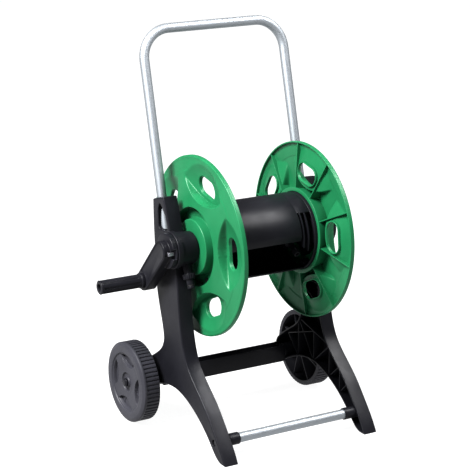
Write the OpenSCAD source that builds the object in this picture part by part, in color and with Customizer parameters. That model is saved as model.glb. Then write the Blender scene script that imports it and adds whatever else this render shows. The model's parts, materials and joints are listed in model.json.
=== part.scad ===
// Garden hose reel cart: two moulded side frames, a tube handle, two wheels and a crank-driven reel.
// Millimetres. +Z is up, +X runs along the reel axis away from the crank, -Y is the front.

/* [Reel] */
// Diameter of the two reel flanges
flange_d = 369; // [350:1:375]
// Distance over the outer faces of the flange rims
reel_w = 258; // [250:1:262]
// Outer diameter of the winding drum
drum_d = 163; // [158:1:165]
// Number of pockets, each with a hand hole, round a flange
pocket_count = 5; // [4:1:6]

/* [Frame] */
// Height of the reel axis above the floor
axis_h = 395.5; // [385:0.5:410]
// Distance over the outer faces of the side frames
frame_w = 364; // [360:1:370]
// Thickness of a side frame along X
leg_w = 31; // [30:1:33]
// Wall thickness of the mouldings
wall = 3; // [2.5:0.1:4]

/* [Handle] */
// Diameter of the handle and foot bar tubes
tube_d = 20; // [18:0.5:20]
// Height of the top of the handle above the floor
handle_h = 823; // [760:1:850]
// Distance between the centre lines of the handle's legs
handle_w = 331.4; // [330:0.2:334]
// Backward lean of the handle
handle_lean = 14.1; // [13:0.1:15]
// Centre line radius of the handle's corners
handle_bend_r = 62; // [40:1:90]

/* [Wheels] */
// Wheel diameter
wheel_d = 170; // [160:1:172]
// Width of the tread
wheel_w = 39; // [30:1:41]
// Distance over the outer faces of the wheels
track_w = 470; // [468:1:490]
// Number of tread ribs
tread_count = 60; // [40:2:72]

/* [Crank] */
// Distance from the reel axis to the grip's axis
crank_throw = 108; // [95:1:115]
// Angle of the crank arm below the horizontal, towards the rear
crank_angle = 46.5; // [0:0.5:90]
// Grip diameter
grip_d = 28; // [24:0.5:30]
// Grip length
grip_l = 97; // [90:1:110]

/* [Hidden] */
$fn = 96;

black = [0.13, 0.13, 0.15];
green = [0.07, 0.52, 0.25];
steel = [0.72, 0.74, 0.76];
rubber = [0.05, 0.05, 0.05];
acetal = [0.85, 0.85, 0.82];

fit = 0.05;             // radial clearance of a running fit
eps = 1;                // how far a cutter runs past the face it opens
mid_x = 38;             // the reel's mid-plane, so that the whole object is centred on X
axis_y = -4;            // the reel's axis, so that the whole object is centred on Y

// Frame: distances along X from the reel's mid-plane, and (y, z) points from the reel's axis
out_x = frame_w / 2;                    // outer face of a side frame
in_x = out_x - leg_w;                   // open inner face of a side frame
floor_z = -axis_h;
axle = [122, wheel_d / 2 - axis_h];     // wheel axle
bar = [-156, 36 - axis_h];              // foot bar
axle_r = 6;
boss_r = 36;                            // reel bearing boss at the frame
boss_end_r = 33;                        // and at its inner end
boss_end_x = 143;
ring_r = 38;                            // ring round the crank-side bearing
ring_x = out_x + 9;
bush_r = 26;
journal_r = 22;
port_x = 161;                           // water passage through the crank-side bearing
inlet_angle = 24;                       // the inlet points down and this much forwards

// Handle: a line in the YZ plane that leans back
handle_base = [80, 92.6];               // where the tube leaves the side frame
handle_dir = [sin(handle_lean), cos(handle_lean)];
tube_wall = 1.3;
handle_rise = (handle_h - tube_d / 2 - axis_h - handle_base[1]) / handle_dir[1];
handle_depth = 165;                     // length of tube inside the side frame
screw_steps = [-14, -138];              // handle screws, along the tube from its exit

// Reel: distances along X from the reel's mid-plane
rim_x = reel_w / 2;
rim_r = flange_d / 2;
rim_w = 10;
hub_x = rim_x + 12;                     // outer face of the central disc
disc_r = 57;
groove_r = 80;                          // outer wall of the groove round the central disc
web_x = rim_x + 9;                      // outer face of the web beside the groove
drum_r = drum_d / 2;
drum_end_x = rim_x - 10;
collar_r = drum_r + 0.5;                // inner radius of the flange's collar round the drum
band_w = 18;                            // closed ring at each end of the drum
lip_angle = 78;                         // drum opening, from straight up towards the front
open_from = 90;
open_to = 150;
seam_angle = -96;
hole_turn = 12;                         // first pocket, from straight up towards the front
pocket_r = 108;         // radius of a pocket's curved wall
pocket_at = 205;        // its centre, from the reel's axis
pocket_tilt = 5.3;      // slope of the pocket's dished floor at the hand hole
pocket_depth = 10.5;    // and how far the floor lies there below the rim
floor_r = 200;          // radius of the dished floor
lip_t = 2.2;            // lip round a hand hole
hole_at = 127;
hole_l = 64;
hole_w = 37;
screw_r = 2.4;
drum_screw_at = 71;
shaft_screw_at = 38;

// Crank: distances along X from the reel's mid-plane, measured towards the crank
crank_in = ring_x + 1;
crank_hub_x = crank_in + 10;
crank_out = crank_in + 24;
square_w = 24;
square_end_x = crank_out - 6;
key_w = 13;
key_h = 7;
key_x = (crank_in + crank_out) / 2 - 1;
hub_end_r = 22;
grip_end_r = 21;
grip_gap = 0.5;
grip_at = crank_throw * [cos(crank_angle), -sin(crank_angle)];
bolt_r = 4;

// Wheel: distances along X from the reel's mid-plane
wheel_out = track_w / 2;
wheel_in = wheel_out - wheel_w;
wheel_r = wheel_d / 2;
rim_band_r = 62;
lens_r = 38;
lens_at = 74;

// ---- helpers ----

// The model is drawn about the reel's axis and mid-plane, then moved to stand on the floor.
module in_place() { translate([mid_x, axis_y, axis_h]) children(); }

// An outline in (y, z), extruded along +X from x over a length l
module slab(x, l) { translate([x, 0, 0]) rotate([90, 0, 90]) linear_extrude(l) children(); }

// A round bar along +X from x over a length l, at (y, z)
module bar_x(x, l, r, at = [0, 0], r2 = undef) {
    translate([x, at[0], at[1]]) rotate([0, 90, 0]) cylinder(h = l, r1 = r, r2 = is_undef(r2) ? r : r2);
}

module tube_x(x, l, r, bore, at = [0, 0]) {
    difference() {
        bar_x(x, l, r, at);
        bar_x(x - eps, l + 2 * eps, bore, at);
    }
}

// Turned about the reel's axis: the profile is (radius, distance along +X)
module turned() { rotate([0, 90, 0]) rotate_extrude($fn = 144) children(); }

// Turns its children round the reel's axis, from straight up towards the front
module turn(a) { rotate([a, 0, 0]) children(); }

function polar(r, a) = [-r * sin(a), r * cos(a)];
function unit(v) = v / norm(v);
function bezier(p, n) = [for (i = [0:n - 1]) let (t = i / n, s = 1 - t)
    s * s * s * p[0] + 3 * s * s * t * p[1] + 3 * s * t * t * p[2] + t * t * t * p[3]];
function arc(c, r, a, b, n) = [for (i = [0:n - 1]) let (t = a + (b - a) * i / n) c + r * [cos(t), sin(t)]];
// A closed outline moved inwards by d
function inset(p, d) = [for (i = [0:len(p) - 1])
    let (n = len(p), a = unit(p[i] - p[(i + n - 1) % n]), b = unit(p[(i + 1) % n] - p[i]))
    p[i] + d * [-a[1] - b[1], a[0] + b[0]] / (1 + a * b)];

// ---- side frames ----

foot_front = [-199, floor_z];
foot_back = [-183, floor_z];            // the underside is flat from here to the front
heel = [-143, floor_z + 26];
arch_top = [0, floor_z + 100];
arm_end = [120, axle[1] + 10];
arm_end_r = 27;
post_top_rear = [88, 86];
post_top_front = [44, 98];
knee_front = [-44, floor_z + 171];
shin_front = [-138, floor_z + 79];
crotch_rear = [50, floor_z + 189];
neck_front = [-13, -83];
waist_rear = [77, -95];

leg_outline = concat(
    [foot_front],
    bezier([foot_back, foot_back + [14, 1], heel - [13, 13], heel], 6),
    bezier([heel, heel + [28, 30], arch_top + [-56, -4], arch_top], 12),
    bezier([arch_top, arch_top + [40, 2], arch_top + [72, -10], arm_end + arm_end_r * [cos(235), sin(235)]], 8),
    arc(arm_end, arm_end_r, -125, 50, 10),
    bezier([arm_end + arm_end_r * [cos(50), sin(50)], crotch_rear + [48, -38],
            crotch_rear + [10, -31], crotch_rear], 8),
    bezier([crotch_rear, crotch_rear + [-7, 17], waist_rear + [-7, -40], waist_rear], 6),
    bezier([waist_rear, waist_rear + [3, 55], post_top_rear + [0, -68], post_top_rear], 5),
    bezier([post_top_rear, post_top_rear + [-10, 4], post_top_front + [10, -1], post_top_front], 3),
    bezier([post_top_front, post_top_front + [-22, -48], neck_front + [11, 63], neck_front], 6),
    bezier([neck_front, neck_front + [-4, -45], knee_front + [22, 38], knee_front], 8),
    bezier([knee_front, knee_front + [-18, -31], shin_front + [31, 37], shin_front], 8),
    bezier([shin_front, shin_front + [-20, -23], foot_front + [13, 26], foot_front], 6));

// Stiffening ribs inside a side frame, from point to point
leg_ribs = [[[-10, -60], [78, -60]], [[-16, -120], [72, -120]], [[-16, -120], [78, -60]],
            [[-20, -170], [62, -170]], [[-20, -170], [72, -120]], [[-60, -245], [60, -215]],
            [[-20, -170], [60, -215]], [[-60, -245], [0, -296]], [[0, -296], [60, -215]],
            [[0, -296], [0, -230]], [[0, -230], [100, -262]], [[60, -304], [60, -215]],
            [[60, -304], [100, -262]], [[-100, -278], [-60, -312]], [[-60, -245], [-60, -312]],
            [[-128, -308], [-100, -336]], [[-100, -278], [-100, -336]]];
rib_t = 2.4;

module rib_line(p, q) {
    d = unit(q - p);
    n = rib_t / 2 * [-d[1], d[0]];
    polygon([p + n, p - n, q - n, q + n]);
}

// A round bar along the handle's leg; step and l are measured along the leg from where it leaves the frame
module along_handle(step, l, r) {
    at = handle_base + step * handle_dir;
    translate([-handle_w / 2, at[0], at[1]]) rotate([-handle_lean, 0, 0]) cylinder(h = l, r = r);
}

module handle_screw_holes(r) {
    for (step = screw_steps)
        bar_x(-out_x + wall, leg_w + eps, r, handle_base + step * handle_dir);
}

// Window in the outer face that shows the handle tube
window_outline = concat([[60, 85], [50, 76], [37, 62], [26, 38], [36, 30]],
                        arc([55, 39], 10, -90, 0, 6), [[67, 69]]);

crossbar_d = 30;        // along Y
crossbar_h = 36.5;      // along Z
socket_l = 10;          // collar that takes an end of the crossbar
socket_wall = 2.4;

module crossbar_outline(grow) {
    translate(axle - [crossbar_d / 2 + grow, crossbar_h / 2 + grow])
        square([crossbar_d + 2 * grow, crossbar_h + 2 * grow]);
}

// The crank-side frame, without its bearing
module leg_shell() {
    difference() {
        union() {
            difference() {
                slab(-out_x, leg_w) polygon(leg_outline);
                slab(-out_x + wall, leg_w) polygon(inset(leg_outline, wall));
            }
            intersection() {
                slab(-out_x + wall / 2, leg_w - wall / 2 - 3) polygon(inset(leg_outline, wall / 2));
                for (rib = leg_ribs) slab(-out_x, leg_w) rib_line(rib[0], rib[1]);
            }
            intersection() {
                slab(-out_x + 1, leg_w - 1) polygon(inset(leg_outline, 1));
                along_handle(-handle_depth - wall, handle_depth + 40, tube_d / 2 + wall);
            }
            for (step = screw_steps)
                bar_x(-in_x - 8, 8, 7, handle_base + step * handle_dir);
            intersection() {
                slab(-out_x + 1, leg_w - 1) polygon(inset(leg_outline, 1));
                bar_x(-out_x, leg_w, tube_d / 2 + 2, bar);
            }
            bar_x(1.4 - wheel_in, wheel_in - 1.4 - in_x, 17, axle);
            slab(-in_x - wall, wall) crossbar_outline(socket_wall);
            difference() {
                slab(-in_x - 1, socket_l + 1) crossbar_outline(socket_wall);
                slab(-in_x, socket_l + eps) crossbar_outline(0.1);
            }
        }
        along_handle(-handle_depth, handle_depth + 60, tube_d / 2 + 0.1);
        handle_screw_holes(screw_r + 0.1);
        slab(-out_x - eps, out_x + eps - handle_w / 2) polygon(window_outline);
        bar_x(-out_x + 8, leg_w, tube_d / 2 + 0.1, bar);
        bar_x(-out_x - eps, leg_w, 3.1, bar);
        bar_x(-out_x - eps, 6 + eps, 6.5, bar);
        bar_x(-wheel_in - eps, wheel_in, axle_r + 0.1, axle);
        translate([-in_x + socket_l / 2, axle[0], axle[1] + 12]) rotate([-90, 0, 0]) cylinder(h = 30, r = screw_r + 0.1);
    }
}

module bearing_boss() {
    bar_x(-out_x - 2, out_x + 2 - boss_end_x, boss_r, r2 = boss_end_r);
}

module side_frame_left() color(black) in_place() difference() {
    union() {
        leg_shell();
        bearing_boss();
        bar_x(-ring_x, ring_x - out_x + 3, ring_r);
    }
    bar_x(-ring_x - eps, ring_x, bush_r);
    turn(-inlet_angle) translate([-port_x, 0, -boss_r - 6]) cylinder(h = boss_r, r = 9);
    along_handle(-handle_depth, handle_depth + 60, tube_d / 2 + 0.1);
}

module side_frame_right() color(black) in_place() mirror([1, 0, 0]) difference() {
    union() {
        leg_shell();
        bearing_boss();
    }
    bar_x(-out_x + wall, out_x, bush_r);
    along_handle(-handle_depth, handle_depth + 60, tube_d / 2 + 0.1);
}

module both_sides() {
    children();
    mirror([1, 0, 0]) children();
}

// ---- handle ----

// The handle's bent centre line as a solid of radius r, in the plane of the handle
module handle_solid(r, spare) {
    half_w = handle_w / 2;
    leg_l = handle_depth + handle_rise - handle_bend_r;
    translate([0, handle_base[0], handle_base[1]]) rotate([-handle_lean, 0, 0]) {
        for (s = [-1, 1])
            translate([s * half_w, 0, -handle_depth - spare]) cylinder(h = leg_l + spare, r = r);
        translate([half_w - handle_bend_r, 0, handle_rise - handle_bend_r])
            rotate([90, 0, 0]) rotate_extrude(angle = 90) translate([handle_bend_r, 0]) circle(r);
        translate([handle_bend_r - half_w, 0, handle_rise - handle_bend_r])
            rotate([90, 0, 0]) rotate([0, 0, 90]) rotate_extrude(angle = 90) translate([handle_bend_r, 0]) circle(r);
        translate([handle_bend_r - half_w, 0, handle_rise])
            rotate([0, 90, 0]) cylinder(h = handle_w - 2 * handle_bend_r, r = r);
    }
}

module handle_tube() color(steel) in_place() difference() {
    handle_solid(tube_d / 2, 0);
    handle_solid(tube_d / 2 - tube_wall, eps);
    both_sides() handle_screw_holes(screw_r + 0.1);
}

// Plastic plugs pressed into the tube's lower ends
module handle_plugs() color(black) in_place() both_sides()
    along_handle(-handle_depth, 15, tube_d / 2 - tube_wall);

module handle_screws() color(steel) in_place() both_sides()
    for (step = screw_steps) {
        at = handle_base + step * handle_dir;
        bar_x(-out_x + 5, leg_w - 5, screw_r, at);
        bar_x(-in_x, 3.2, 4.8, at);
    }

// ---- rear crossbar and axle ----

module crossbar() color(black) in_place() difference() {
    union() {
        difference() {
            slab(-in_x, 2 * in_x) crossbar_outline(0);
            translate([-in_x - eps, axle[0] - crossbar_d / 2 + 2.5, axle[1] - crossbar_h / 2 + 2.5])
                cube([2 * (in_x + eps), crossbar_d - 5, crossbar_h]);
        }
        for (x = [-120, -60, 0, 60, 120])
            translate([x - 1.25, axle[0] - crossbar_d / 2 + 1, axle[1] - crossbar_h / 2 + 1])
                cube([2.5, crossbar_d - 2, crossbar_h / 2 + 6]);
    }
    bar_x(-in_x - eps, 2 * (in_x + eps), axle_r + 0.3, axle);
    both_sides() translate([-in_x + socket_l / 2, axle[0], axle[1] + 12])
        rotate([-90, 0, 0]) cylinder(h = 30, r = screw_r + 0.1);
}

module crossbar_screws() color(steel) in_place() both_sides()
    translate([-in_x + socket_l / 2, axle[0] + crossbar_d / 2 - 6, axle[1] + 12]) rotate([-90, 0, 0]) {
        cylinder(h = 6 + socket_wall, r = screw_r);
        translate([0, 0, 6 + socket_wall]) cylinder(h = 3, r = 4.8);
    }

module wheel_axle() color(steel) in_place()
    bar_x(-wheel_out - 1, 2 * (wheel_out + 1), axle_r, axle);

module axle_washers() color(steel) in_place() both_sides()
    tube_x(-wheel_in + 0.5, 0.8, 11, axle_r + 0.1, axle);

// Push-on caps that hold the wheels on the axle
module axle_cap() {
    difference() {
        union() {
            bar_x(-wheel_out - 1, 4, 9, axle);
            bar_x(-wheel_out - 2.5, 2, 7, axle);
        }
        bar_x(-wheel_out - 1, 10, axle_r, axle);
    }
}
module axle_cap_left() color(black) in_place() axle_cap();
module axle_cap_right() color(black) in_place() mirror([1, 0, 0]) axle_cap();

// ---- wheels ----

tread_depth = 2;
tread_share = 0.28;     // share of the pitch that is groove
rib_top_r = wheel_r - 0.3;
function tread_outline() = [for (i = [0:tread_count - 1], k = [0:3])
    let (a = (i + [0, tread_share, tread_share, 1][k]) * 360 / tread_count)
    (k < 2 ? rib_top_r - tread_depth : rib_top_r) * [cos(a), sin(a)]];

// Profile of the wheel: (radius, distance along +X), for the crank side
module wheel_profile() {
    x0 = -wheel_out;
    x1 = -wheel_in;
    under_r = rib_top_r - tread_depth - 0.6;
    polygon([[axle_r + 0.06, x0 + 3.6], [10, x0 + 3.6], [13, x0 + 6.5], [20, x0 + 6.5], [22, x0 + 4.6],
             [rim_band_r - 2, x0 + 3.2], [rim_band_r + 1, x0 + 0.8], [rim_band_r + 3, x0], [wheel_r - 6, x0],
             [wheel_r - 3, x0 + 0.8], [wheel_r - 0.8, x0 + 3], [wheel_r, x0 + 6], [wheel_r, x0 + 8],
             [under_r, x0 + 8], [under_r, x1 + 0.5], [wheel_r - 7, x1 + 0.5],
             [wheel_r - 7, x0 + 6], [rim_band_r, x0 + 9.4], [18, x0 + 12], [16, x1], [axle_r + 0.06, x1]]);
}

module wheel() translate([0, axle[0], axle[1]]) difference() {
    union() {
        turned() wheel_profile();
        difference() {
            slab(-wheel_out + 7, wheel_w - 7) polygon(tread_outline());
            bar_x(-wheel_out, wheel_w + eps, wheel_r - 5);
        }
        for (a = [0:45:315]) turn(a + 22.5)
            translate([-wheel_out + 5.6, -1.25, 14]) cube([wheel_w - 10, 2.5, wheel_r - 19.6]);
    }
    for (a = [0:90:270]) turn(a + 8) intersection() {
        bar_x(-wheel_out - eps, 6.5 + eps, rim_band_r - 3);
        bar_x(-wheel_out - eps, 6.5 + eps, lens_r, [0, lens_at]);
    }
}

module wheel_left() color(black) in_place() wheel();
module wheel_right() color(black) in_place() mirror([1, 0, 0]) wheel();

// ---- foot bar ----

bar_end_x = out_x - 9;
module foot_bar() color(steel) in_place() tube_x(-bar_end_x, 2 * bar_end_x, tube_d / 2, tube_d / 2 - tube_wall, bar);
module bar_collars() color(black) in_place() both_sides() tube_x(-in_x, 25, tube_d / 2 + 2.2, tube_d / 2, bar);
module bar_plugs() color(black) in_place() both_sides() tube_x(-bar_end_x, 22, tube_d / 2 - tube_wall, 3, bar);
module bar_screws() color(steel) in_place() both_sides() {
    bar_x(-out_x + 6, 22, 3, bar);
    bar_x(-out_x + 3, 3, 5.6, bar);
}

// ---- reel bearings and water inlet ----

module bush_left() color(acetal) in_place() difference() {
    tube_x(1 - ring_x, ring_x - 1 - boss_end_x, bush_r, journal_r + fit);
    turn(-inlet_angle) translate([-port_x, 0, -bush_r - eps]) cylinder(h = bush_r, r = 5);
}
module bush_right() color(acetal) in_place() tube_x(boss_end_x, out_x - wall - boss_end_x, bush_r, journal_r + fit);

nipple_from = 27;       // inlet distances from the reel's axis, along the inlet
nipple_neck = 63;
nipple_to = 82;
nose_r = 8;
collar_l = 11;
module along_inlet(from, l, r) {
    turn(-inlet_angle) translate([-port_x, 0, -from - l]) cylinder(h = l, r = r);
}
module inlet_nipple() color(black) in_place() difference() {
    union() {
        along_inlet(nipple_from, nipple_neck - nipple_from, 9);
        along_inlet(nipple_neck, nipple_to - nipple_neck, nose_r);
    }
    along_inlet(nipple_from - eps, nipple_to - nipple_from + 2 * eps, 4.5);
    difference() {
        along_inlet(nipple_to - 7, 2.6, nose_r + eps);
        along_inlet(nipple_to - 8, 4.6, nose_r - 1.7);
    }
}
module inlet_collar() color(black) in_place() difference() {
    union() {
        along_inlet(nipple_neck - collar_l, collar_l, 12);
        for (a = [0:20:340]) turn(-inlet_angle) translate([-port_x, 0, -nipple_neck]) rotate([0, 0, a])
            translate([11, -1, 0.8]) cube([1.8, 2, collar_l - 1.6]);
    }
    along_inlet(nipple_neck - collar_l - eps, collar_l + 2 * eps, 9);
}
module inlet_seal() color(rubber) in_place() turn(-inlet_angle) translate([-port_x, 0, -nipple_to + 5.7])
    rotate_extrude() translate([nose_r - 0.85, 0]) circle(0.8, $fn = 24);

// ---- reel ----

module flange_profile() {
    polygon([[journal_r + 0.1, hub_x], [disc_r - 1.5, hub_x], [disc_r, hub_x - 1.5], [disc_r, drum_end_x + wall],
             [groove_r, drum_end_x + wall], [groove_r, web_x - 1], [groove_r + 2, web_x], [rim_r - 8, rim_x + 0.6],
             [rim_r - 4, rim_x], [rim_r - 1.5, rim_x - 1], [rim_r, rim_x - 3.5], [rim_r, rim_x - rim_w],
             [rim_r - wall, rim_x - rim_w], [rim_r - wall, rim_x - 4.5], [rim_r - 8, rim_x - wall],
             [collar_r + wall + 1, web_x - wall], [collar_r + wall + 1, drum_end_x - 12], [collar_r, drum_end_x - 12],
             [collar_r, drum_end_x], [disc_r - wall, drum_end_x], [disc_r - wall, hub_x - 6], [journal_r + 0.1, hub_x - 6]]);
}

// Frame of one pocket: its origin lies on the floor in the middle of the hand hole, local z runs out to the rim
module at_pocket() { translate([rim_x - pocket_depth, 0, hole_at]) rotate([0, pocket_tilt, 0]) children(); }

// Cuts or fills one pocket: a dish that comes up to the rim, ended by a curved wall towards the hub
module pocket(grow) {
    intersection() {
        at_pocket() translate([floor_r, 0, 0]) rotate([0, 90, 0]) sphere(floor_r + grow, $fn = 180);
        translate([rim_x - 40, 0, pocket_at]) rotate([0, 90, 0])
            cylinder(h = 80, r = pocket_r + grow, $fn = 180);
    }
}

// A hand hole's outline grown by r, as a bar of length l centred on the pocket's floor
module hole_bar(grow, from, l) {
    half = (hole_l - hole_w) / 2;
    at_pocket() translate([from, 0, 0]) rotate([0, 90, 0]) {
        for (s = [-1, 1]) translate([0, s * half, 0]) cylinder(h = l, r = hole_w / 2 + grow);
        translate([-hole_w / 2 - grow, -half, 0]) cube([hole_w + 2 * grow, 2 * half, l]);
    }
}

module all_pockets() {
    for (k = [0:pocket_count - 1]) turn(hole_turn + k * 360 / pocket_count) children();
}

// A radial rib: as deep as the collar at the hub and as the rim at the edge
module flange_rib() {
    from_r = collar_r + 2;
    to_r = rim_r - wall / 2;
    translate([0, rib_t / 2, 0]) rotate([90, 0, 0]) linear_extrude(rib_t)
        polygon([[drum_end_x - 7, from_r], [web_x - 2, from_r], [rim_x - 1.5, to_r - 8],
                 [rim_x - 4, to_r], [rim_x - rim_w + 1, to_r]]);
}

// The flange on the +X side
module flange() difference() {
    union() {
        difference() {
            turned() flange_profile();
            all_pockets() intersection() {
                pocket(0);
                tube_x(rim_x - 40, 80, rim_r - 8, collar_r + 8);
            }
        }
        all_pockets() intersection() {
            difference() {
                pocket(wall);
                pocket(0);
            }
            turned() polygon([[collar_r + 5, rim_x - 30], [rim_r - 6, rim_x - 30], [rim_r - 6, rim_x - 0.4],
                              [collar_r + 5, web_x - 0.4]]);
        }
        all_pockets() hole_bar(lip_t, -wall - 4.5, 4.5 + 2.5);
        difference() {
            for (k = [0:2 * pocket_count - 1]) turn(hole_turn + (k + 0.5) * 180 / pocket_count) flange_rib();
            all_pockets() pocket(1);
        }
    }
    all_pockets() hole_bar(0, -30, 50);
    for (a = [0:72:288]) turn(a + hole_turn) bar_x(drum_end_x - eps, 10, screw_r + 0.1, [0, drum_screw_at]);
    for (a = [45:90:315]) turn(a) bar_x(hub_x - 7, 5.5, 2, [0, shaft_screw_at]);
    bar_x(hub_x - 10, 20, journal_r + 0.1);
}

module flange_right() color(green) in_place() flange();
module flange_left() color(green) in_place() mirror([1, 0, 0]) flange();

// A sector of the drum's cross-section, between two angles from straight up towards the front
module sector(a, b) {
    polygon(concat([[0, 0]], [for (i = [0:12]) polar(2 * drum_r, a + (b - a) * i / 12)]));
}

drum_wall = 3;
panel_x = drum_end_x - band_w - 0.5;
module drum_upper() color(black) in_place() {
    intersection() {
        tube_x(-panel_x, 2 * panel_x, drum_r, drum_r - drum_wall);
        slab(-panel_x, 2 * panel_x) sector(seam_angle, lip_angle);
    }
    slab(-panel_x, 2 * panel_x) polygon(concat(
        [for (i = [0:4]) polar(drum_r - 5 * i * i / 16, lip_angle + 3 * i - 0.3)],
        [for (i = [4:-1:0]) polar(drum_r - drum_wall - 5 * i * i / 16, lip_angle + 3 * i - 0.3)]));
}

module drum_lower() color(black) in_place() {
    difference() {
        tube_x(-drum_end_x, 2 * drum_end_x, drum_r, drum_r - drum_wall);
        slab(-drum_end_x + band_w, 2 * (drum_end_x - band_w)) sector(seam_angle - 0.3, open_to);
    }
    both_sides() difference() {
        intersection() {
            union() for (a = [0:72:288]) turn(a + hole_turn) bar_x(-drum_end_x + 1, band_w - 2, 8.6, [0, drum_screw_at]);
            bar_x(-drum_end_x - eps, 2 * band_w, drum_r - 1);
        }
        for (a = [0:72:288]) turn(a + hole_turn) bar_x(-drum_end_x - eps, band_w - 3, screw_r + 0.1, [0, drum_screw_at]);
    }
}

module drum_screws() color(steel) in_place() both_sides() for (a = [0:72:288]) turn(a + hole_turn) {
    bar_x(-drum_end_x - wall, 17, screw_r, [0, drum_screw_at]);
    bar_x(-drum_end_x - wall - 3, 3, 4.6, [0, drum_screw_at]);
}

// ---- reel shafts ----

shaft_plate_r = 50;
module shaft_plate() {
    difference() {
        bar_x(-hub_x + 6, 5, shaft_plate_r);
        for (a = [45:90:315]) turn(a) bar_x(-hub_x, 20, screw_r, [0, shaft_screw_at]);
    }
}

seal_x = [port_x - 11, port_x + 11];
module crank_shaft() color(black) in_place() difference() {
    union() {
        shaft_plate();
        bar_x(-ring_x - 0.5, ring_x - hub_x + 10, journal_r);
        translate([-square_end_x, -square_w / 2, -square_w / 2]) cube([square_end_x - ring_x + 1, square_w, square_w]);
    }
    bar_x(-port_x - 8, port_x, 7);
    for (a = [0:90:270]) turn(a + 45) translate([-port_x, 0, 0]) cylinder(h = 30, r = 3);
    tube_x(-port_x - 4, 8, journal_r + eps, journal_r - 2.5);
    for (x = seal_x) tube_x(-x - 1.7, 3.4, journal_r + eps, journal_r - 3);
    translate([-key_x - key_w / 2, -30, -key_h / 2]) cube([key_w, 60, key_h]);
}

module shaft_seals() color(rubber) in_place() for (x = seal_x)
    translate([-x, 0, 0]) rotate([0, 90, 0]) rotate_extrude() translate([journal_r - 1.5, 0]) circle(1.45, $fn = 24);

module stub_shaft() color(black) in_place() mirror([1, 0, 0]) difference() {
    union() {
        shaft_plate();
        bar_x(-out_x + wall + 1, out_x - wall - 1 - hub_x + 10, journal_r);
    }
    bar_x(-out_x, 100, 14);
}

module shaft_screws() color(steel) in_place() both_sides() for (a = [45:90:315]) turn(a) {
    bar_x(-hub_x + 1.6, 9.4, 2, [0, shaft_screw_at]);
    bar_x(-hub_x + 11, 2.8, 4, [0, shaft_screw_at]);
}

// ---- water path inside the drum ----

outlet_angle = 120;     // towards the middle of the drum's opening
outlet_x = 74;
pipe_r = 7;
pipe_bore = 5;
bend_r = 20;
module pipe_solid(r, spare) {
    turn(outlet_angle) {
        bar_x(-hub_x - 2 - spare, hub_x + 2 + spare + outlet_x - bend_r, r);
        translate([outlet_x - bend_r, 0, bend_r]) rotate([90, 0, 0]) rotate([0, 0, -90])
            rotate_extrude(angle = 90) translate([bend_r, 0]) circle(r);
        translate([outlet_x, 0, bend_r]) cylinder(h = 12 + spare, r = r);
    }
}
module water_pipe() color(black) in_place() difference() {
    pipe_solid(pipe_r, 0);
    pipe_solid(pipe_bore, eps);
}

tail_from = bend_r + 12;
tail_l = 34;
tail_r = 6.5;
module along_outlet(from, l, r, r2 = undef) {
    turn(outlet_angle) translate([outlet_x, 0, from]) cylinder(h = l, r1 = r, r2 = is_undef(r2) ? r : r2);
}
module hose_tail() color(black) in_place() difference() {
    union() {
        along_outlet(tail_from, 3, 9);
        along_outlet(tail_from, tail_l, tail_r);
        for (k = [0:2]) along_outlet(tail_from + 22 + 4 * k, 3, 7.4, tail_r);
    }
    along_outlet(tail_from - eps, tail_l + 2 * eps, 4);
}
module hose_tail_nut() color(black) in_place() difference() {
    turn(outlet_angle) translate([outlet_x, 0, tail_from - 9]) cylinder(h = 9, r = 12, $fn = 6);
    along_outlet(tail_from - 10, 12, pipe_r);
}

// ---- crank ----

// The arm's outline, from the hub to the grip, moved inwards by d
arm_taper = asin((hub_end_r - grip_end_r) / crank_throw);
module arm_outline(d) {
    rotate(-crank_angle) polygon(concat(
        arc([0, 0], hub_end_r - d, 90 - arm_taper, 270 + arm_taper, 32),
        arc([crank_throw, 0], grip_end_r - d, -90 + arm_taper, 90 - arm_taper, 32),
        [[crank_throw, 0] + (grip_end_r - d) * [sin(arm_taper), cos(arm_taper)]]));
}

module crank_arm() color(black) in_place() difference() {
    union() {
        bar_x(-crank_hub_x, crank_hub_x - crank_in, 35.5, r2 = boss_r);
        slab(-crank_out, crank_out - crank_in) arm_outline(0);
    }
    difference() {
        slab(-crank_out - eps, eps + 1) arm_outline(3.5);
        bar_x(-crank_out - 2, 4, grip_end_r - 1, grip_at);
    }
    translate([-square_end_x - 0.1, -square_w / 2 - 0.1, -square_w / 2 - 0.1])
        cube([square_end_x, square_w + 0.2, square_w + 0.2]);
    translate([-key_x - key_w / 2, -60, -key_h / 2]) cube([key_w, 120, key_h]);
    translate([-key_x - key_w / 2 - 1.5, -45, -10]) cube([key_w + 3, 21, 20]);
    bar_x(-crank_out - eps, 40, bolt_r + 0.1, grip_at);
    translate([-crank_in - 7, grip_at[0], grip_at[1]]) rotate([0, 90, 0]) cylinder(h = 10, r = 7.6, $fn = 6);
}

// Flat steel key that locks the crank to the square end of its shaft
module crank_key() color(steel) in_place()
    translate([-key_x - key_w / 2, -28, -key_h / 2]) cube([key_w, 50, key_h]);

grip_in = crank_out + grip_gap;
grip_out = grip_in + grip_l;
module grip_bolt() color(steel) in_place() {
    bar_x(-grip_out + 22, grip_out - 22 - crank_in - 1, bolt_r, grip_at);
    bar_x(-grip_out + 16, 6, 6.5, grip_at);
}
module grip_nut() color(steel) in_place() difference() {
    translate([-crank_in - 7, grip_at[0], grip_at[1]]) rotate([0, 90, 0]) cylinder(h = 6.5, r = 7.5, $fn = 6);
    bar_x(-crank_in - 8, 10, bolt_r, grip_at);
}

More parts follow.
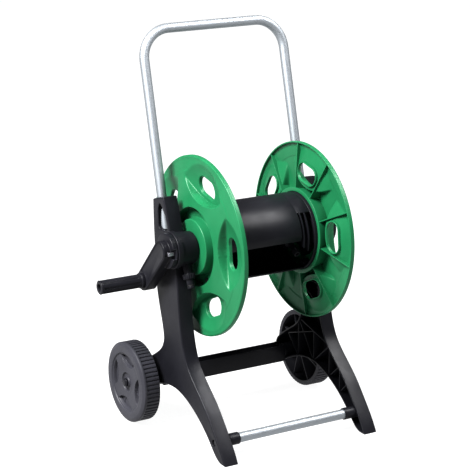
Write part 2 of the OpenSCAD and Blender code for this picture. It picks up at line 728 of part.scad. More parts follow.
flute_count = 8;
module crank_grip() color(black) in_place() difference() {
    union() {
        bar_x(-grip_out + 1.5, grip_l - 1.5, grip_d / 2, grip_at);
        bar_x(-grip_out, 1.6, grip_d / 2 - 1.2, grip_at, r2 = grip_d / 2 - 0.05);
        bar_x(-grip_in - 6, 6, grip_d / 2 + 2, grip_at);
    }
    translate([0, grip_at[0], grip_at[1]]) for (k = [0:flute_count - 1]) turn(k * 360 / flute_count)
        bar_x(-grip_out + 6, grip_l - 18, 2.5, [0, grip_d / 2 + 1.5]);
    bar_x(-grip_out - eps, grip_l + 2 * eps, bolt_r + 0.06, grip_at);
    bar_x(-grip_out - eps, 23 + eps, 7.5, grip_at);
}

side_frame_left();
side_frame_right();
handle_tube();
handle_plugs();
handle_screws();
crossbar();
crossbar_screws();
foot_bar();
bar_collars();
bar_plugs();
bar_screws();
wheel_axle();
axle_washers();
axle_cap_left();
axle_cap_right();
wheel_left();
wheel_right();
bush_left();
bush_right();
inlet_nipple();
inlet_collar();
inlet_seal();
flange_left();
flange_right();
drum_upper();
drum_lower();
drum_screws();
crank_shaft();
shaft_seals();
stub_shaft();
shaft_screws();
water_pipe();
hose_tail();
hose_tail_nut();
crank_arm();
crank_key();
grip_bolt();
grip_nut();
crank_grip();
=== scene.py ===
"""Looks for the garden hose reel cart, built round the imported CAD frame."""
import json
import math

import bmesh
import bpy
import numpy as np
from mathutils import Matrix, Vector


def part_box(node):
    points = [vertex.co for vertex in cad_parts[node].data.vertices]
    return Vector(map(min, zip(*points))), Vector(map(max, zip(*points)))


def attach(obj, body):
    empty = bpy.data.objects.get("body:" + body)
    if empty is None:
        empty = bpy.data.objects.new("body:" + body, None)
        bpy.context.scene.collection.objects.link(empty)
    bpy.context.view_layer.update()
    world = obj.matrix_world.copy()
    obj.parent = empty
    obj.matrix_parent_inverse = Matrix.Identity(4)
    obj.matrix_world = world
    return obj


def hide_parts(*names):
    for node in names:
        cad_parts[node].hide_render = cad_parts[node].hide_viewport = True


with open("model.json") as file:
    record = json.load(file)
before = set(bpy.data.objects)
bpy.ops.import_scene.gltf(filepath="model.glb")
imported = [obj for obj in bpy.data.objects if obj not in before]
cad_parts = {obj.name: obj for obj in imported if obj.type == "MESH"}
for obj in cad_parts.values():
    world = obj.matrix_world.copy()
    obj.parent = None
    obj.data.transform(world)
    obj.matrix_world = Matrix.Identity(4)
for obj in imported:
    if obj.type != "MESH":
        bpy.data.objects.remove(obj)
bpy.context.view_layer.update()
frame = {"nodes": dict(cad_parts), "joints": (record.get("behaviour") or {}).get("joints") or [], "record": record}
TAU = 2 * math.pi

# ---------------------------------------------------------------- places, from the frame
joint_at = {j["name"]: Vector(j["pos_m"]) for j in frame["joints"]}
AXIS = joint_at["reel_spin"]            # the reel's axis at its mid-plane
WHEEL = joint_at["wheel_right_spin"] - AXIS


def at(x, y, z):
    """A point given in mm from the reel's middle, in the row frame in metres."""
    return AXIS + Vector((x, y, z)) / 1000


def mm(v):
    return tuple(c * 1000 for c in v)


def box_mm(node):
    lo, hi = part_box(node)
    return mm(Vector(lo) - AXIS), mm(Vector(hi) - AXIS)


# ---------------------------------------------------------------- camera and light
def make_camera():
    target = at(-40.5, 0, 10.6)
    az, el, dist = math.radians(-30.65), math.radians(15.65), 3.558
    back = Vector((math.sin(az) * math.cos(el), -math.cos(az) * math.cos(el), math.sin(el)))
    data = bpy.data.cameras.new("camera")
    data.lens = 133.9
    data.sensor_width = 36
    data.clip_end = 50
    cam = bpy.data.objects.new("camera", data)
    cam.location = target + back * dist
    cam.rotation_euler = (-back).to_track_quat("-Z", "Y").to_euler()
    bpy.context.collection.objects.link(cam)
    bpy.context.scene.camera = cam


def area_light(name, place, aim, size, power, colour=(1, 1, 1)):
    data = bpy.data.lights.new(name, "AREA")
    data.shape = "RECTANGLE"
    data.size, data.size_y = size
    data.energy = power
    data.color = colour
    light = bpy.data.objects.new(name, data)
    light.location = place
    light.rotation_euler = (Vector(aim) - Vector(place)).to_track_quat("-Z", "Y").to_euler()
    bpy.context.collection.objects.link(light)


def make_stage():
    world = bpy.data.worlds.new("studio")
    bpy.context.scene.world = world
    world.use_nodes = True
    bg = world.node_tree.nodes["Background"]
    sky = world.node_tree
    co = sky.nodes.new("ShaderNodeTexCoord")
    split = sky.nodes.new("ShaderNodeSeparateXYZ")
    sky.links.new(co.outputs["Generated"], split.inputs["Vector"])
    ramp = sky.nodes.new("ShaderNodeValToRGB")
    ramp.color_ramp.elements[0].position = 0.0
    ramp.color_ramp.elements[0].color = (0.16, 0.16, 0.17, 1)
    ramp.color_ramp.elements[1].position = 0.85
    ramp.color_ramp.elements[1].color = (1, 1, 1, 1)
    sky.links.new(split.outputs["Z"], ramp.inputs["Fac"])
    sky.links.new(ramp.outputs["Color"], bg.inputs["Color"])
    bg.inputs["Strength"].default_value = 0.45
    bpy.context.scene.view_settings.view_transform = "Standard"
    bpy.context.scene.view_settings.gamma = 0.8
    mesh = bpy.data.meshes.new("floor")
    s = 14
    mesh.from_pydata([(-s, -s, 0), (s, -s, 0), (s, s, 0), (-s, s, 0)], [], [(0, 1, 2, 3)])
    floor = bpy.data.objects.new("floor", mesh)
    bpy.context.collection.objects.link(floor)
    mat = bpy.data.materials.new("floor_white")
    mat.use_nodes = True
    b = mat.node_tree.nodes["Principled BSDF"]
    b.inputs["Base Color"].default_value = (0.1, 0.1, 0.1, 1)
    b.inputs["Emission Color"].default_value = (1, 1, 1, 1)
    b.inputs["Emission Strength"].default_value = 0.96
    b.inputs["Roughness"].default_value = 0.9
    b.inputs["Specular IOR Level"].default_value = 0.1
    mesh.materials.append(mat)
    area_light("key", (-2.4, -0.3, 2.9), (0, 0, 0.4), (1.5, 1.5), 560)
    area_light("top", (1.5, -0.9, 2.7), (0, 0, 0.4), (1.4, 1.4), 150)


# ---------------------------------------------------------------- materials
def new_material(name):
    m = bpy.data.materials.new(name)
    m.use_nodes = True
    nt = m.node_tree
    return m, nt, nt.nodes["Principled BSDF"]


def node(nt, kind, **values):
    n = nt.nodes.new(kind)
    for k, v in values.items():
        if k.startswith("in_"):
            n.inputs[k[3:].replace("_", " ")].default_value = v
        else:
            setattr(n, k, v)
    return n


def plastic(name, dark, light, rough=(0.38, 0.5), grain=900.0, bump=0.12, mottle=14.0, spec=0.5):
    """Moulded plastic: colour drifts a little with flow, with a fine grain and a few soft scuffs."""
    m, nt, b = new_material(name)
    L = nt.links.new
    co = node(nt, "ShaderNodeTexCoord")
    drift = node(nt, "ShaderNodeTexNoise", in_Scale=mottle, in_Detail=4.0, in_Roughness=0.55)
    L(co.outputs["Object"], drift.inputs["Vector"])
    ramp = node(nt, "ShaderNodeValToRGB")
    ramp.color_ramp.elements[0].position = 0.3
    ramp.color_ramp.elements[0].color = (*dark, 1)
    ramp.color_ramp.elements[1].position = 0.7
    ramp.color_ramp.elements[1].color = (*light, 1)
    L(drift.outputs["Fac"], ramp.inputs["Fac"])
    L(ramp.outputs["Color"], b.inputs["Base Color"])
    wear = node(nt, "ShaderNodeTexNoise", in_Scale=mottle * 3.1, in_Detail=6.0, in_Roughness=0.65)
    L(co.outputs["Object"], wear.inputs["Vector"])
    rr = node(nt, "ShaderNodeMapRange")
    rr.inputs["From Min"].default_value = 0.3
    rr.inputs["From Max"].default_value = 0.7
    rr.inputs["To Min"].default_value = rough[0]
    rr.inputs["To Max"].default_value = rough[1]
    L(wear.outputs["Fac"], rr.inputs["Value"])
    L(rr.outputs["Result"], b.inputs["Roughness"])
    fine = node(nt, "ShaderNodeTexNoise", in_Scale=grain, in_Detail=2.0)
    L(co.outputs["Object"], fine.inputs["Vector"])
    bm = node(nt, "ShaderNodeBump", in_Strength=bump, in_Distance=0.0004)
    L(fine.outputs["Fac"], bm.inputs["Height"])
    L(bm.outputs["Normal"], b.inputs["Normal"])
    b.inputs["Specular IOR Level"].default_value = spec
    return m


def metal(name, colour, rough=(0.27, 0.31), stretch=(1, 1, 1), bump=0.002):
    """Drawn, galvanised steel: fine streaks along the tube over a faint spangle."""
    m, nt, b = new_material(name)
    L = nt.links.new
    co = node(nt, "ShaderNodeTexCoord")
    mp = node(nt, "ShaderNodeMapping")
    mp.inputs["Scale"].default_value = stretch
    L(co.outputs["Object"], mp.inputs["Vector"])
    streak = node(nt, "ShaderNodeTexNoise", in_Scale=260.0, in_Detail=5.0, in_Roughness=0.6)
    L(mp.outputs["Vector"], streak.inputs["Vector"])
    spangle = node(nt, "ShaderNodeTexVoronoi", in_Scale=170.0)
    L(co.outputs["Object"], spangle.inputs["Vector"])
    mix = node(nt, "ShaderNodeMix", data_type="FLOAT")
    mix.inputs["Factor"].default_value = 0.12
    L(streak.outputs["Fac"], mix.inputs["A"])
    L(spangle.outputs["Distance"], mix.inputs["B"])
    ramp = node(nt, "ShaderNodeValToRGB")
    ramp.color_ramp.elements[0].position = 0.25
    ramp.color_ramp.elements[0].color = (*[c * 0.93 for c in colour], 1)
    ramp.color_ramp.elements[1].position = 0.75
    ramp.color_ramp.elements[1].color = (*colour, 1)
    L(mix.outputs["Result"], ramp.inputs["Fac"])
    L(ramp.outputs["Color"], b.inputs["Base Color"])
    rr = node(nt, "ShaderNodeMapRange")
    rr.inputs["To Min"].default_value = rough[0]
    rr.inputs["To Max"].default_value = rough[1]
    L(streak.outputs["Fac"], rr.inputs["Value"])
    L(rr.outputs["Result"], b.inputs["Roughness"])
    bm = node(nt, "ShaderNodeBump", in_Strength=bump, in_Distance=0.0003)
    L(streak.outputs["Fac"], bm.inputs["Height"])
    L(bm.outputs["Normal"], b.inputs["Normal"])
    b.inputs["Metallic"].default_value = 1.0
    return m


BLACK = plastic("frame_black", (0.008, 0.008, 0.0105), (0.012, 0.012, 0.0155), rough=(0.34, 0.44),
        spec=0.16, bump=0.06)
GREEN = plastic("flange_green", (0.009, 0.105, 0.044), (0.013, 0.128, 0.056), rough=(0.34, 0.44),
        spec=0.24, bump=0.03)
BLACK_WHEEL = plastic("wheel_black", (0.028, 0.028, 0.034), (0.038, 0.038, 0.046),
        rough=(0.42, 0.54), spec=0.22, bump=0.06)
STEEL = metal("tube_steel", (0.32, 0.339, 0.36), rough=(0.55, 0.6), bump=0.0)
ZINC = metal("screw_zinc", (0.12, 0.12, 0.13), rough=(0.35, 0.45))
KEY = metal("key_steel", (0.3, 0.3, 0.33), rough=(0.4, 0.5))
RUBBER = plastic("seal_rubber", (0.012, 0.012, 0.012), (0.02, 0.02, 0.02), rough=(0.6, 0.75))
ACETAL = plastic("bush_acetal", (0.6, 0.59, 0.55), (0.7, 0.69, 0.65))
BY_SLOT = {"frame_plastic": BLACK, "flange_plastic": GREEN, "tube_steel": STEEL,
        "screw_steel": ZINC,
           "wheel_plastic": BLACK_WHEEL, "seal_rubber": RUBBER, "bush_acetal": ACETAL}
NODE_SLOT = {s["node"]: s["material_slot"] for s in frame["record"]["subparts"]}


# ---------------------------------------------------------------- mesh helpers
class Shape:
    """Vertices and faces in mm from the reel's middle; +X side unless mirrored at the end."""

    def __init__(self):
        self.v, self.f = [], []

    def ring(self, pts):
        n = len(self.v)
        self.v.extend(tuple(p) for p in pts)
        return list(range(n, n + len(pts)))

    def bridge(self, a, b, closed=True):
        n = len(a)
        for i in range(n if closed else n - 1):
            j = (i + 1) % n
            self.f.append((a[i], a[j], b[j], b[i]))

    def cap(self, ring, flip=False):
        self.f.append(tuple(reversed(ring)) if flip else tuple(ring))

    def add(self, other):
        n = len(self.v)
        self.v.extend(other.v)
        self.f.extend(tuple(i + n for i in f) for f in other.f)
        return self

    def mapped(self, fn):
        out = Shape()
        out.v = [tuple(fn(*p)) for p in self.v]
        out.f = list(self.f)
        return out

    def mirrored(self):
        out = Shape()
        out.v = [(-x, y, z) for x, y, z in self.v]
        out.f = [tuple(reversed(f)) for f in self.f]
        return out


def make(shape, name, mat, body, replaces=(), sharp=38, weld=True):
    """One mesh piece from a Shape, outward faces, smooth but for its sharp edges."""
    mesh = bpy.data.meshes.new(name)
    mesh.from_pydata([tuple(at(*p)) for p in shape.v], [], shape.f)
    bm = bmesh.new()
    bm.from_mesh(mesh)
    if weld:
        bmesh.ops.remove_doubles(bm, verts=bm.verts, dist=2e-6)
    bmesh.ops.recalc_face_normals(bm, faces=bm.faces)
    bm.to_mesh(mesh)
    bm.free()
    obj = bpy.data.objects.new(name, mesh)
    bpy.context.collection.objects.link(obj)
    mesh.materials.append(mat)
    smooth(mesh, sharp)
    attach(obj, body)
    if replaces:
        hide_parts(*replaces)
    return obj


def smooth(mesh, sharp):
    mesh.polygons.foreach_set("use_smooth", [True] * len(mesh.polygons))
    mesh.set_sharp_from_angle(angle=math.radians(sharp))


def fillet(pts, radii, n=4):
    """A closed 2D outline with its corners rounded; one radius for all, or one per corner."""
    out = []
    m = len(pts)
    for i, p in enumerate(pts):
        r = radii[i] if isinstance(radii, (list, tuple)) else radii
        p, a, b = Vector(p), Vector(pts[i - 1]), Vector(pts[(i + 1) % m])
        u, w = (a - p), (b - p)
        if r <= 0 or u.length < 1e-6 or w.length < 1e-6:
            out.append(tuple(p))
            continue
        lu, lw = u.length, w.length
        u.normalize()
        w.normalize()
        ang = math.acos(max(-1, min(1, u.dot(w))))
        if ang > math.radians(176):
            out.append(tuple(p))
            continue
        t = min(r / math.tan(ang / 2), 0.49 * lu, 0.49 * lw)
        rr = t * math.tan(ang / 2)
        c = p + (u + w).normalized() * (rr / math.sin(ang / 2))
        s0, s1 = p + u * t - c, p + w * t - c
        a0 = math.atan2(s0.y, s0.x)
        da = math.atan2(s1.y, s1.x) - a0
        da = (da + math.pi) % TAU - math.pi
        for k in range(n + 1):
            an = a0 + da * k / n
            out.append((c.x + rr * math.cos(an), c.y + rr * math.sin(an)))
    return out


def bezier(p, n):
    p = [Vector(q) for q in p]
    return [tuple(p[0] * (1 - t) ** 3 + p[1] * 3 * t * (1 - t) ** 2 + p[2] * 3 * t * t * (1 - t) + p[3] * t ** 3)
            for t in (i / n for i in range(n))]


def arc(c, r, a, b, n):
    return [(c[0] + r * math.cos(math.radians(a + (b - a) * i / n)),
             c[1] + r * math.sin(math.radians(a + (b - a) * i / n))) for i in range(n)]


def inset(pts, d):
    """A closed counter-clockwise outline moved inwards by d."""
    out = []
    m = len(pts)
    for i, p in enumerate(pts):
        p, a, b = Vector(p), Vector(pts[i - 1]), Vector(pts[(i + 1) % m])
        u, w = (p - a).normalized(), (b - p).normalized()
        k = max(0.25, 1 + u.dot(w))
        out.append(tuple(p + Vector((-(u.y + w.y), u.x + w.x)) * (d / k)))
    return out


def ccw(pts):
    area = sum(pts[i - 1][0] * p[1] - p[0] * pts[i - 1][1] for i, p in enumerate(pts))
    return pts if area > 0 else list(reversed(pts))


def prism(outline, x0, x1, r=1.0, n=3, r1=None):
    """A (y, z) outline run along X from x0 to x1, with the edges at both ends rounded."""
    outline = ccw(outline)
    r1 = r if r1 is None else r1
    path = [(x0 + r - r * math.cos(math.pi / 2 * k / n),
            r - r * math.sin(math.pi / 2 * k / n)) for k in range(n + 1)]
    path += [(x1 - r1 + r1 * math.sin(math.pi / 2 * k / n), r1 - r1 * math.cos(math.pi / 2 * k / n))
             for k in range(n + 1)]
    path = [(x0, r + 0.3)] + path + [(x1, r1 + 0.3)]
    sh = Shape()
    rings = [sh.ring([(x, y, z) for y, z in inset(outline, d)]) for x, d in path]
    for a, b in zip(rings, rings[1:]):
        sh.bridge(a, b)
    sh.cap(rings[0], True)
    sh.cap(rings[-1])
    return sh


def lathe(profile, n=96, centre=(0, 0), closed=True, turn=0.0):
    """(radius, x) profile turned about a line along X through centre = (y, z)."""
    sh = Shape()
    rings = []
    for r, x in profile:
        rings.append(sh.ring([(x, centre[0] + r * math.cos(TAU * i / n + turn),
                               centre[1] + r * math.sin(TAU * i / n + turn)) for i in range(n)]))
    for a, b in zip(rings, rings[1:] + (rings[:1] if closed else [])):
        sh.bridge(a, b)
    if not closed:
        sh.cap(rings[0], True)
        sh.cap(rings[-1])
    return sh


def boolean(shape, cutters, op="DIFFERENCE"):
    """Shape after exact booleans with other Shapes."""
    def temp(sh):
        mesh = bpy.data.meshes.new("tmp")
        mesh.from_pydata(sh.v, [], sh.f)
        bm = bmesh.new()
        bm.from_mesh(mesh)
        bmesh.ops.remove_doubles(bm, verts=bm.verts, dist=1e-4)
        bmesh.ops.recalc_face_normals(bm, faces=bm.faces)
        bm.to_mesh(mesh)
        bm.free()
        o = bpy.data.objects.new("tmp", mesh)
        bpy.context.collection.objects.link(o)
        return o
    base = temp(shape)
    tools = [temp(c) for c in cutters]
    for t in tools:
        mod = base.modifiers.new("b", "BOOLEAN")
        mod.operation = op
        mod.solver = "EXACT"
        mod.object = t
    dg = bpy.context.evaluated_depsgraph_get()
    mesh = bpy.data.meshes.new_from_object(base.evaluated_get(dg))
    out = Shape()
    out.v = [tuple(v.co) for v in mesh.vertices]
    out.f = [tuple(q.vertices) for q in mesh.polygons]
    for o in [base] + tools:
        bpy.data.objects.remove(o, do_unlink=True)
    bpy.data.meshes.remove(mesh)
    return out


def soften(name, piece_name, mat, body, width=0.8, angle=32, segments=2, sharp=38):
    """A CAD node's own solid, copied, with its flat faces whole again and its hard edges rounded."""
    src = frame["nodes"][name]
    bm = bmesh.new()
    bm.from_mesh(src.data)
    bmesh.ops.remove_doubles(bm, verts=bm.verts, dist=2e-6)
    bmesh.ops.dissolve_limit(bm, angle_limit=math.radians(0.1), verts=bm.verts, edges=bm.edges)
    bmesh.ops.recalc_face_normals(bm, faces=bm.faces)
    edges = [e for e in bm.edges if len(e.link_faces) == 2 and e.calc_face_angle(0) > math.radians(angle)]
    bmesh.ops.bevel(bm, geom=edges, offset=width / 1000, segments=segments, profile=0.6,
            affect="EDGES",
                    clamp_overlap=False, offset_type="OFFSET", miter_outer="ARC")
    mesh = bpy.data.meshes.new(piece_name)
    bm.to_mesh(mesh)
    bm.free()
    obj = bpy.data.objects.new(piece_name, mesh)
    bpy.context.collection.objects.link(obj)
    mesh.materials.append(mat)
    smooth(mesh, sharp)
    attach(obj, body)
    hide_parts(name)
    return obj



def grid_shape(x, y, z, keep=None):
    """Rings of points as numpy arrays [ring, around]; closed both ways unless cells are dropped by keep."""
    sh = Shape()
    n, m = x.shape
    sh.v = [tuple(p) for p in np.stack([x, y, z], -1).reshape(-1, 3).tolist()]
    i, j = np.meshgrid(np.arange(n), np.arange(m), indexing="ij")
    i2, j2 = (i + 1) % n, (j + 1) % m
    quads = np.stack([i * m + j, i * m + j2, i2 * m + j2, i2 * m + j], -1)
    if keep is not None:
        quads = quads[keep]
    sh.f = [tuple(q) for q in quads.reshape(-1, 4).tolist()]
    return sh


def step(t):
    t = np.clip(t, 0, 1)
    return t * t * (3 - 2 * t)


# ---------------------------------------------------------------- the reel's flanges
POCKETS, FIRST = 5, 12.0                # hand-hole pockets, and the first one's angle from straight up to the front
HOLE_AT, HOLE_HALF, HOLE_R = 127.0, 13.5, 18.5
FLANGE_HUB = 139.0                      # the flange is drawn with its central disc here, then moved along X


def pocket_uv(r, a):
    """Distances along and across the middle of the nearest pocket."""
    d = (np.degrees(a) - FIRST + 36) % 72 - 36
    d = np.radians(d)
    return r * np.cos(d), r * np.sin(d)


def slot_gap(u, w):
    return np.hypot(np.maximum(np.abs(w) - HOLE_HALF, 0), u - HOLE_AT) - HOLE_R


def web_face(r):
    """The flange's outer face between the groove and the rim, with a shallow step near the rim."""
    return 136 - (r - 82) * 0.0889 - 0.7 * step((r - 153.6) / 1.8)


def pocket_floor(u, w):
    return 315.7 - np.sqrt(200.0 ** 2 - (u - 108.6) ** 2 - w * w)


def flange_faces(r, a):
    u, w = pocket_uv(r, a)
    depth = 108 - np.hypot(u - 205, w)
    web, floor = web_face(r), pocket_floor(u, w)
    k = 1.2
    h = np.clip(0.5 + 0.5 * (web - floor) / k, 0, 1)
    low = web * (1 - h) + floor * h - k * h * (1 - h)
    outer = web + (low - web) * step((depth + 0.6) / 3.6)
    inner = web - 3 + (np.minimum(web, low) - web) * step((depth + 3.8) / 3.6)
    gap = slot_gap(u, w)
    edge = 1.1 * (1 - np.sqrt(np.clip(1 - np.clip(1 - gap / 1.8, 0, 1) ** 2, 0, 1)))
    return outer - edge, inner, gap


def flange(rim_r, bore):
    hub_x = FLANGE_HUB
    count = 660
    ang = np.arange(count) * TAU / count
    web_r = np.append(np.arange(84, rim_r - 8.5, 1.2), rim_r - 8.1)
    outside = fillet([(bore, hub_x), (57, hub_x), (57.6, 120), (79.6, 120), (80.2, 136.2),
            (84.0, web_face(84.0)),
                      (84, 126), (bore, 126)], [0.4, 2.2, 2.0, 2.0, 1.6, 0, 0, 0], 5)
    first = outside[:-3]
    rim_pts = fillet([(rim_r - 7.5, 126.6), (rim_r - 4, 127.2), (rim_r, 126.6), (rim_r, 117),
            (rim_r - 3, 117),
                      (rim_r - 3.6, 122.6), (rim_r - 7.5, 123.4), (rim_r - 7.5, 124)],
                     [0, 1.5, 3.2, 1.2, 1.2, 1.6, 0, 0], 5)[1:-2]
    inner_pts = fillet([(92, 130), (90.5, 105), (82, 105), (82, 117), (54, 117), (54, 133),
            (bore, 133), (bore, 138)],
                       [0, 1.0, 1.0, 0.8, 2, 2, 0.4, 0], 4)[1:-1]
    rr, xx, kind = [], [], []
    for r, x in first:
        rr.append(np.full(count, r))
        xx.append(np.full(count, x))
        kind.append(0)
    o0 = len(rr)
    gaps = []
    for r in web_r:
        outer, inner, gap = flange_faces(np.full(count, r), ang)
        rr.append(np.full(count, r))
        xx.append(outer)
        gaps.append(gap)
        kind.append(1)
    for r, x in rim_pts:
        rr.append(np.full(count, r))
        xx.append(np.full(count, x))
        kind.append(0)
    i0 = len(rr)
    for r in web_r[::-1]:
        outer, inner, gap = flange_faces(np.full(count, r), ang)
        rr.append(np.full(count, r))
        xx.append(inner)
        kind.append(2)
    for r, x in inner_pts:
        rr.append(np.full(count, r))
        xx.append(np.full(count, x))
        kind.append(0)
    R, X = np.array(rr), np.array(xx)
    A = np.tile(ang, (len(rr), 1))
    n = len(web_r)
    keep = np.ones(R.shape, bool)
    gap = np.array(gaps)
    # cells whose middle lies in a hand hole are left out, on both faces
    mid = (gap[:-1] + gap[1:] + np.roll(gap, -1, 1)[:-1] + np.roll(gap, -1, 1)[1:]) / 4
    hole = mid < 0
    keep[o0:o0 + n - 1][hole] = False
    keep[i0:i0 + n - 1][hole[::-1]] = False
    # the vertices round each hole move onto its outline
    touch = np.zeros((n, count), bool)
    full = np.zeros((n, count), bool)
    for di in (0, 1):
        for dj in (0, 1):
            touch[di:di + n - 1] |= np.roll(hole, dj, 1)
            full[di:di + n - 1] |= np.roll(~hole, dj, 1)
    border = touch & full
    bi, bj = np.nonzero(border)
    r0, a0 = R[o0 + bi, bj], A[o0 + bi, bj]
    base = np.radians(FIRST + 72 * np.round((np.degrees(a0) - FIRST) / 72))
    d = a0 - base
    u, w = r0 * np.cos(d), r0 * np.sin(d)
    cw = np.clip(w, -HOLE_HALF, HOLE_HALF)
    du, dw = u - HOLE_AT, w - cw
    ln = np.maximum(np.hypot(du, dw), 1e-6)
    u, w = HOLE_AT + du / ln * HOLE_R, cw + dw / ln * HOLE_R
    r1, a1 = np.hypot(u, w), base + np.arctan2(w, u)
    outer, inner, _ = flange_faces(r1, a1)
    for row, val in ((o0 + bi, outer), (i0 + n - 1 - bi, inner)):
        R[row, bj], A[row, bj], X[row, bj] = r1, a1, val
    sh = grid_shape(X, -R * np.sin(A), R * np.cos(A), keep)
    # the holes' walls
    m = count
    for i in range(n - 1):
        for j in np.nonzero(hole[i])[0]:
            j2 = (j + 1) % m
            for (pi, pj), (qi, qj), (ni, nj) in (((i, j), (i, j2), (i - 1, j)),
                    ((i + 1, j2), (i + 1, j), (i + 1, j)),
                                                 ((i + 1, j), (i, j), (i, (j - 1) % m)),
                                                         ((i, j2), (i + 1, j2), (i, j2))):
                if 0 <= ni < n - 1 and not hole[ni, nj]:
                    sh.f.append(((o0 + pi) * m + int(pj), (o0 + qi) * m + int(qj),
                                 (i0 + n - 1 - qi) * m + int(qj), (i0 + n - 1 - pi) * m + int(pj)))
    return sh


def flange_rib(angle, rim_r):
    a = math.radians(angle)
    radii = np.linspace(86.5, rim_r - 9, 30)
    top = flange_faces(radii, np.full(30, a))[0] - 1.4
    outline = [(108, 86.5)] + list(zip(top.tolist(), radii.tolist())) + [(123, rim_r - 2),
            (118, rim_r - 2)]
    rib = prism(outline, -1.2, 1.2, 0.4, 2)
    return rib.mapped(lambda x, y, z: (y, -z * math.sin(a) - x * math.cos(a),
            z * math.cos(a) - x * math.sin(a)))


def hole_collar(angle):
    """The lip round a hand hole on the winding side, following the pocket's floor."""
    a = math.radians(angle)
    line = []
    for side in (1, -1):
        for k in range(25):
            t = math.pi * k / 24
            line.append((side * (HOLE_HALF + HOLE_R * math.sin(t)), side * HOLE_R * math.cos(t)))
    # ring section: (outwards from the hole's edge, height over the floor's outer face)
    section = fillet([(-0.25, -0.9), (-0.25, -8.0), (2.2, -8.0), (3.0, -1.5)],
            [0.2, 0.9, 0.9, 0.2], 3)
    sh = Shape()
    rings = []
    n = len(line)
    for i, (w, v) in enumerate(line):
        pa, pb = Vector(line[i - 1]), Vector(line[(i + 1) % n])
        tan = (pb - pa).normalized()
        out = Vector((tan.y, -tan.x))
        if out.dot(Vector((w - max(-HOLE_HALF, min(HOLE_HALF, w)), v))) < 0:
            out = -out
        pts = []
        for s, h in section:
            ww, vv = w + out.x * s, v + out.y * s
            u = HOLE_AT + vv
            top = flange_faces(math.hypot(u, ww), math.radians(FIRST) + math.atan2(ww, u))[0]
            x = min(float(pocket_floor(u, ww)) + h, float(top) - 1.2)
            pts.append((x, -u * math.sin(a) - ww * math.cos(a), u * math.cos(a) - ww * math.sin(a)))
        rings.append(sh.ring(pts))
    for p, q in zip(rings, rings[1:] + rings[:1]):
        sh.bridge(p, q)
    return sh


def make_flanges():
    _, hi = box_mm("flange_right")
    rim_r = hi[2]
    sh = flange(rim_r, 22.1)
    for k in range(POCKETS):
        sh.add(hole_collar(FIRST + 72 * k))
    for k in range(2 * POCKETS):
        sh.add(flange_rib(FIRST + 18 + 36 * k, rim_r))
    sh = sh.mapped(lambda x, y, z: (x + hi[0] - FLANGE_HUB, y, z))
    make(sh, "flange_far", GREEN, "reel", ["flange_right"], sharp=50)
    make(sh.mirrored(), "flange_near", GREEN, "reel", ["flange_left"], sharp=50)


# ---------------------------------------------------------------- wheels
def wheel():
    """The far wheel, about its own centre, with +X its outer side."""
    lo, hi = box_mm("wheel_right")
    r0 = (hi[2] - lo[2]) / 2
    x1, x0 = lo[0], hi[0]
    ribs, per = 60, 8
    count = ribs * per
    frac = np.array([0.0, 0.06, 0.13, 0.28, 0.35, 0.41, 0.60, 0.80])
    low = np.array([0.15, 0.85, 1.0, 1.0, 0.85, 0.15, 0.0, 0.0])
    ang = ((np.arange(count) // per) + frac[np.arange(count) % per]) * TAU / ribs
    groove = low[np.arange(count) % per]
    bore = 6.06
    face = fillet([(bore, x0 - 3.6), (9.8, x0 - 3.6), (11.4, x0 - 7), (19.2, x0 - 7),
            (20.6, x0 - 3.4), (24, x0 - 4.2)],
                  [0.3, 0.9, 1.2, 1.2, 1.0, 0], 3)
    disc_r = np.arange(24.6, 59, 1.3)
    band = fillet([(59.4, x0 - 3.1), (61.2, x0 - 3.0), (62.8, x0 - 0.5), (66, x0), (76.5, x0),
            (79.4, x0 - 0.9),
                   (r0 - 0.7, x0 - 3.2), (r0, x0 - 6), (r0, x0 - 8)],
                           [0, 0.8, 0.8, 2, 3, 2, 2, 2, 0], 4)
    inner = fillet([(75, x1 + 0.6), (75, x0 - 6), (62, x0 - 9), (18, x0 - 12), (15, x1),
            (bore, x1)],
                   [0.8, 1.5, 3, 2, 0.6, 0.3], 4)
    rr, xx = [], []

    def put(r, x):
        rr.append(np.broadcast_to(r, (count,)).astype(float))
        xx.append(np.broadcast_to(x, (count,)).astype(float))

    for r, x in face:
        put(r, x)
    for r in disc_r:
        a = (ang - math.radians(8)) % (TAU / 4)
        a = np.where(a > TAU / 8, a - TAU / 4, a)
        u, w = r * np.cos(a), r * np.sin(a)
        d = np.minimum(58.6 - r, 38 - np.hypot(u - 74, w))
        put(r, x0 - 4.2 + (r - 24) * 0.031 - 7.0 * step((d + 0.2) / 1.7))
    for r, x in band:
        put(r, x)
    top = r0 - 0.3
    for k, x in enumerate([x0 - 8.6, x0 - 9.2, x0 - 10.5, (x0 + x1) / 2, x1 + 3.2, x1 + 1.4,
            x1 + 0.6]):
        f = [0.0, 0.75, 1, 1, 1, 1, 1][k]
        drop = [0, 0, 0, 0, 0, 0.5, 2.0][k]
        put(top - 2.1 * f * groove - drop * (1 - groove), x)
    for r, x in inner:
        put(r, x)
    R, X = np.array(rr), np.array(xx)
    A = np.tile(ang, (len(rr), 1))
    sh = grid_shape(X, -R * np.sin(A), R * np.cos(A))
    for k in range(8):
        a = math.radians(22.5 + 45 * k)
        web = prism([(x0 - 9, 15), (x0 - 9, 74.5 + 1), (x1 + 6, 75.5), (x1 + 3, 40),
                (x1 + 1.5, 15)], -1.3, 1.3, 0.5, 2)
        sh.add(web.mapped(lambda x, y, z: (y, -z * math.sin(a) - x * math.cos(a),
                z * math.cos(a) - x * math.sin(a))))
    return sh


def make_wheels():
    sh = wheel().mapped(lambda x, y, z: (x, y + WHEEL.y * 1000, z + WHEEL.z * 1000))
    make(sh, "wheel_far", BLACK_WHEEL, "right_wheel", ["wheel_right"], sharp=40)
    make(sh.mirrored(), "wheel_near", BLACK_WHEEL, "left_wheel", ["wheel_left"], sharp=40)


